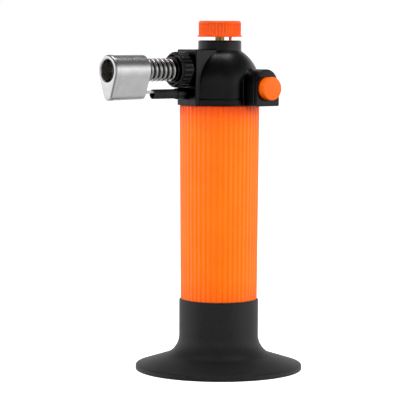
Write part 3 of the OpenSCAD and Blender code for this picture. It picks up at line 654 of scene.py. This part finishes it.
def make_air_ring(mats):
    """Toothed air ring with a bevelled front and three slots over the air ports."""
    low, high = span("air_ring")
    rear, front = low[0], high[0]
    tooth_r, depth, teeth, per_tooth = high[2] - NOZZLE_Z, 0.7, 24, 16
    bore, pocket_r, pocket_x, bevel_x, bevel_r = 4.95, 6.2, front - 1.4, front - 0.95, 6.5
    steps = teeth * per_tooth
    turn = np.linspace(0, 2 * math.pi, steps, endpoint=False)
    wave = 0.5 - 0.5 * np.cos(turn * teeth)
    groove = np.clip((wave - 0.55) / 0.4, 0, 1)
    groove = groove * groove * (3 - 2 * groove)
    profile = [(tooth_r - depth * groove - 0.3, rear), (tooth_r - depth * groove - 0.08, rear + 0.08),
               (tooth_r - depth * groove, rear + 0.3)]
    profile += [(tooth_r - depth * groove, x) for x in np.linspace(rear + 1.0, bevel_x - 0.4, 4)]
    profile += [(tooth_r - depth * np.maximum(groove, 0.15), bevel_x),
                (tooth_r - depth * np.maximum(groove, 0.5), bevel_x + 0.25),
                (tooth_r - depth, bevel_x + 0.5), (bevel_r + 0.05, front - 0.12), (bevel_r - 0.1, front)]
    profile += [(pocket_r - 0.1, front), (pocket_r - 0.2, front - 0.1), (pocket_r - 0.2, pocket_x),
                (bore, pocket_x), (bore, rear)]
    ring = piece("air_ring_shell", revolve(profile, steps, "x", (0, 0, NOZZLE_Z)), "air_ring",
                 mats["ring_plastic"], "air_control")
    cut = ring.modifiers.new("slots", "BOOLEAN")
    cut.operation, cut.solver = "DIFFERENCE", "EXACT"
    cutter = slot_cutter(front)
    cut.object = cutter
    bake(ring)
    bpy.data.objects.remove(cutter)


def slot_cutter(front):
    """Three blocks that cut the air slots."""
    mesh = bpy.data.meshes.new("slot_cutter")
    blocks = bmesh.new()
    for angle in (30, 150, 270):
        made = bmesh.ops.create_cube(blocks, size=1.0)["verts"]
        for v in made:
            along = (front - 3.9 + 4.0 * (v.co.x + 0.5)) * MM
            out = 6.0 * (v.co.z + 0.5) * MM
            side = 2.4 * v.co.y * MM
            a = math.radians(angle)
            v.co = Vector((along, side * math.cos(a) - out * math.sin(a),
                           side * math.sin(a) + out * math.cos(a) + NOZZLE_Z * MM))
    blocks.to_mesh(mesh)
    blocks.free()
    obj = bpy.data.objects.new("slot_cutter", mesh)
    bpy.context.scene.collection.objects.link(obj)
    return obj


def bake(obj):
    """Applies an object's modifiers."""
    graph = bpy.context.evaluated_depsgraph_get()
    obj.data = bpy.data.meshes.new_from_object(obj.evaluated_get(graph))
    obj.modifiers.clear()


def make_coil(mats):
    """Bright steel coil of round wire round the burner tube."""
    turns, wire, per_turn = 6.0, 0.55, 48
    low, high = span("heat_coil")
    coil_r = BURNER_R + 0.1 + wire
    share = np.linspace(0, 1, int(turns * per_turn) + 1)
    angle = 2 * math.pi * turns * share
    path = np.stack([low[0] + wire + (high[0] - low[0] - 2 * wire) * share,
                     coil_r * np.sin(angle), NOZZLE_Z - coil_r * np.cos(angle)], axis=1)
    piece("coil_wire", tube(path, wire, 16), "heat_coil", mats["spring_wire"], crease=60)


def pear_distance(across, up, drop, shrink):
    """Pear-shaped outline round the burner's axis: a large lobe at the axis and a small one below it."""
    large, small = GUARD_R - shrink, LOBE_R - shrink
    across, down = np.abs(across), -up
    tilt = (large - small) / drop
    lean = math.sqrt(1 - tilt * tilt)
    along = down * lean - across * tilt
    side = across * lean + down * tilt
    near_small = np.hypot(across, down - drop) - small
    near_large = np.hypot(across, down) - large
    return np.where(along < 0, near_large, np.where(along > drop * lean, near_small, side - large))


def pear(drop, shrink, steps):
    return reach(lambda a, b: pear_distance(a, b, drop, shrink), steps)


def make_guard(mats):
    """Pear-shaped sleeve of satin steel, a little taller at the front."""
    steps, edge = 240, 0.12
    profile = []
    for x, shrink in ((GUARD_X + edge, 0), (GUARD_X + 0.5, 0), (GUARD_X + 5, 0), (GUARD_X + 10, 0),
                      (GUARD_END - 0.5, 0), (GUARD_END - edge, 0), (GUARD_END, edge), (GUARD_END, SHEET - edge),
                      (GUARD_END - edge, SHEET), (GUARD_END - 5, SHEET), (GUARD_X + 5, SHEET),
                      (GUARD_X + edge, SHEET), (GUARD_X, SHEET - edge), (GUARD_X, edge)):
        drop = LOBE_REAR + (LOBE_FRONT - LOBE_REAR) * (x - GUARD_X) / (GUARD_END - GUARD_X)
        profile.append((pear(drop, shrink, steps), x))
    piece("guard_sleeve", revolve(profile, steps, "x", (0, 0, NOZZLE_Z)), "flame_guard",
          mats["guard_steel"], crease=40)


def make_guard_cap(mats):
    """Pressed front cap: a bead over the sleeve's edge, a rounded brow, a flat face and a mouth tube."""
    low, high = span("guard_cap")
    steps, lap, side, inset, front = 240, 0.1, 1.4, 0.8, high[0]
    bulge = front - GUARD_END - side
    roll, tail = 0.55, low[0]

    def shell(skin):
        """Rings from the cap's rear edge to the mouth's inner end, skin under the outer surface."""
        rings = [(pear(LOBE_FRONT, skin - lap, steps), GUARD_END + 0.06 + (0.04 if skin else 0)),
                 (pear(LOBE_FRONT, skin - lap, steps), GUARD_END + side)]
        for a in np.radians(np.linspace(15, 90, 6)):
            shrink = skin - lap + (inset - skin * 0.5) * (1 - math.cos(a))
            rings.append((pear(LOBE_FRONT, shrink, steps), GUARD_END + side + (bulge - skin) * math.sin(a)))
        brow, rim = rings[-1][0], MOUTH_R + roll
        for share in (0.33, 0.66, 1.0):
            rings.append((brow * (1 - share) + rim * share, front - skin))
        for a in np.radians(np.linspace(18, 90, 5)):
            rings.append((MOUTH_R + skin + (roll - skin * 0.6) * (1 - math.sin(a)),
                          front - skin - (roll - skin * 0.6) * (1 - math.cos(a))))
        rings.append((MOUTH_R + skin, tail))
        return rings

    profile = shell(0) + shell(SHEET)[::-1]
    piece("guard_front", revolve(profile, steps, "x", (0, 0, NOZZLE_Z)), "guard_cap",
          mats["guard_steel"], crease=50)


def make_lead_parts(mats):
    """Boss and sleeve that lead the igniter wire out of the head."""
    low, high = span("lead_boss")
    boss_r, sleeve_r = (high[1] - low[1]) / 2, (span("lead_sleeve")[1][1] - span("lead_sleeve")[0][1]) / 2
    boss = rounded([(sleeve_r + 0.02, low[0]), (boss_r, low[0]), (boss_r, high[0] - 1.3, 0.8),
                    (sleeve_r + 0.25, high[0], 0.15), (sleeve_r + 0.02, high[0])])
    piece("lead_boss_shell", revolve(boss, 96, "x", (0, 0, LEAD_Z)), "lead_boss",
          mats["head_plastic"])
    low, high = span("lead_sleeve")
    bore = 1.55
    sleeve = rounded([(bore, low[0], 0.1), (sleeve_r, low[0], 0.1), (sleeve_r, high[0], 0.17),
                      (bore, high[0], 0.17)])
    piece("lead_sleeve_tube", revolve(sleeve, 96, "x", (0, 0, LEAD_Z)), "lead_sleeve",
          mats["sleeve_plastic"])


# ---------------------------------------------------------------- springs

def make_spring(name, node, slot, axis, turns, wire, fixed_high, mats):
    """Spring that stands for a CAD spring, coiled along its length."""
    low, high = span(node)
    centre = (low + high) / 2
    across = [i for i in range(3) if i != axis]
    coil_r = (high[across[0]] - low[across[0]]) / 2 - wire
    share = np.linspace(0, 1, int(turns * 32) + 1)
    path = np.zeros((len(share), 3))
    path[:, across[0]] = centre[across[0]] + coil_r * np.cos(2 * math.pi * turns * share)
    path[:, across[1]] = centre[across[1]] + coil_r * np.sin(2 * math.pi * turns * share)
    path[:, axis] = low[axis] + wire + (high[axis] - low[axis] - 2 * wire) * share
    spring = piece(name, tube(path, wire, 10), node, mats[slot], crease=60)
    anchor = centre.copy()
    anchor[axis] = high[axis] if fixed_high else low[axis]
    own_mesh(spring)


# ---------------------------------------------------------------- stage

def make_camera():
    """Camera at the photograph's viewing angle, standing almost level with the top of the head."""
    azimuth, distance, height = math.atan2(0.788, 0.616), 0.871, 0.144
    pitch, roll, pan = math.radians(4.811), math.radians(-0.2), math.radians(0.54)
    data = bpy.data.cameras.new("camera")
    data.lens, data.sensor_width = 189.04, 36.0
    data.clip_start, data.clip_end = 0.05, 200
    cam = bpy.data.objects.new("camera", data)
    cam.location = (distance * math.cos(azimuth), distance * math.sin(azimuth), height)
    cam.rotation_euler = Euler((math.pi / 2 - pitch, roll, azimuth + math.pi / 2 + pan), "XYZ")
    bpy.context.scene.collection.objects.link(cam)
    bpy.context.scene.camera = cam


def bearing_vector(bearing, elevation):
    """Direction from the torch. bearing is in degrees from the camera's side, to the right as seen by it."""
    turn, tilt = math.atan2(0.788, 0.616) + math.radians(bearing), math.radians(elevation)
    return Vector((math.cos(turn) * math.cos(tilt), math.sin(turn) * math.cos(tilt), math.sin(tilt)))


def make_light(name, bearing, elevation, distance, size, radiance, mirrored):
    """Soft box that faces the torch. One that isn't mirrored lights it without showing in gloss."""
    aim = Vector((0, 0, 0.08))
    data = bpy.data.lights.new(name, "AREA")
    data.shape = "RECTANGLE"
    data.size, data.size_y = size
    data.energy = radiance * math.pi * size[0] * size[1]
    light = bpy.data.objects.new(name, data)
    light.location = aim + distance * bearing_vector(bearing, elevation)
    light.rotation_euler = (aim - light.location).to_track_quat("-Z", "Y").to_euler()
    light.visible_glossy = mirrored
    bpy.context.scene.collection.objects.link(light)


def make_room():
    """White backdrop, dimmer on one side and dark above, as in a studio with flags."""
    world = bpy.data.worlds.new("room")
    bpy.context.scene.world = world
    world.use_nodes = True
    tree = world.node_tree
    place = add_node(tree, "ShaderNodeTexCoord")
    split = add_node(tree, "ShaderNodeSeparateXYZ")
    tree.links.new(place.outputs["Generated"], split.inputs["Vector"])
    facing = add_node(tree, "ShaderNodeVectorMath", operation="DOT_PRODUCT")
    facing.inputs[1].default_value = bearing_vector(-12, 0)
    tree.links.new(place.outputs["Generated"], facing.inputs[0])
    sides = add_node(tree, "ShaderNodeMapRange", interpolation_type="SMOOTHSTEP")
    for socket, value in (("From Min", 0.30), ("From Max", 0.75), ("To Min", 1.0), ("To Max", 0.40)):
        sides.inputs[socket].default_value = value
    tree.links.new(facing.outputs["Value"], sides.inputs["Value"])
    height = add_node(tree, "ShaderNodeMapRange")
    height.inputs["From Min"].default_value = -1.0
    tree.links.new(split.outputs["Z"], height.inputs["Value"])
    levels = add_node(tree, "ShaderNodeValToRGB")
    ramp = levels.color_ramp
    stops = ((0.0, 0.35), (0.35, 0.7), (0.47, 0.9), (0.60, 1.15), (0.70, 0.6), (0.79, 0.12), (1.0, 0.09))
    ramp.elements[0].position, ramp.elements[1].position = stops[0][0], stops[-1][0]
    for position, _ in stops[1:-1]:
        ramp.elements.new(position)
    for element, (_, level) in zip(ramp.elements, stops):
        element.color = (level, level, level, 1)
    tree.links.new(height.outputs["Result"], levels.inputs["Fac"])
    room = add_node(tree, "ShaderNodeMath", operation="MULTIPLY")
    tree.links.new(sides.outputs["Result"], room.inputs[0])
    tree.links.new(levels.outputs["Color"], room.inputs[1])
    ray = add_node(tree, "ShaderNodeLightPath")
    plain = add_node(tree, "ShaderNodeMix")
    plain.inputs["B"].default_value = 1.0
    tree.links.new(ray.outputs["Is Camera Ray"], plain.inputs["Factor"])
    tree.links.new(room.outputs["Value"], plain.inputs["A"])
    tree.links.new(plain.outputs["Result"], tree.nodes["Background"].inputs["Strength"])
    tree.nodes["Background"].inputs["Color"].default_value = (1, 1, 1, 1)


def make_floor():
    """Plain white floor."""
    half = 30.0
    mesh = bpy.data.meshes.new("floor")
    corners = [(-half, -half, 0), (half, -half, 0), (half, half, 0), (-half, half, 0)]
    mesh.from_pydata(corners, [], [(0, 1, 2, 3)])
    floor = bpy.data.objects.new("floor", mesh)
    bpy.context.scene.collection.objects.link(floor)
    floor.location.z = -0.02 * MM
    pale = new_material("pale_floor", base_color=(0.6, 0.6, 0.6, 1), roughness=0.9, emission_color=(1, 1, 1, 1),
                        emission_strength=0.95)
    floor.data.materials.append(pale)
    floor.visible_glossy = floor.visible_diffuse = False


def main():
    mats = make_materials()
    make_camera()
    make_room()
    make_floor()
    make_light("fill_front", -5, 22, 1.6, (1.4, 1.2), 4.3, False)
    make_light("fill_left", -85, 15, 1.5, (0.8, 1.2), 4.4, False)
    make_light("fill_right", 80, 15, 1.5, (0.8, 1.2), 5.5, False)
    make_light("box_top", 170, 80, 0.9, (0.6, 0.35), 3.2, True)
    view = bpy.context.scene.view_settings
    view.view_transform = "Standard"
    view.use_curve_mapping = True
    view.curve_mapping.black_level = (BLACK_LEVEL,) * 3
    view.curve_mapping.update()
    slots = {part["node"]: part["material_slot"] for part in frame["record"]["subparts"]}
    for node, obj in frame["nodes"].items():
        obj.data.materials.clear()
        obj.data.materials.append(mats[slots[node]])
    make_stand(mats)
    make_tank(mats)
    make_head(mats)
    make_bezel(mats)
    make_button(mats)
    make_knob(mats)
    make_air_ring(mats)
    make_coil(mats)
    make_guard(mats)
    make_guard_cap(mats)
    make_lead_parts(mats)
    make_spring("piezo_return_spring", "piezo_spring", "spring_wire", 1, 6, 0.25, False,
                mats)
    make_spring("refill_spring", "filler_spring", "spring_wire", 2, 5, 0.2, True,
                mats)


main()
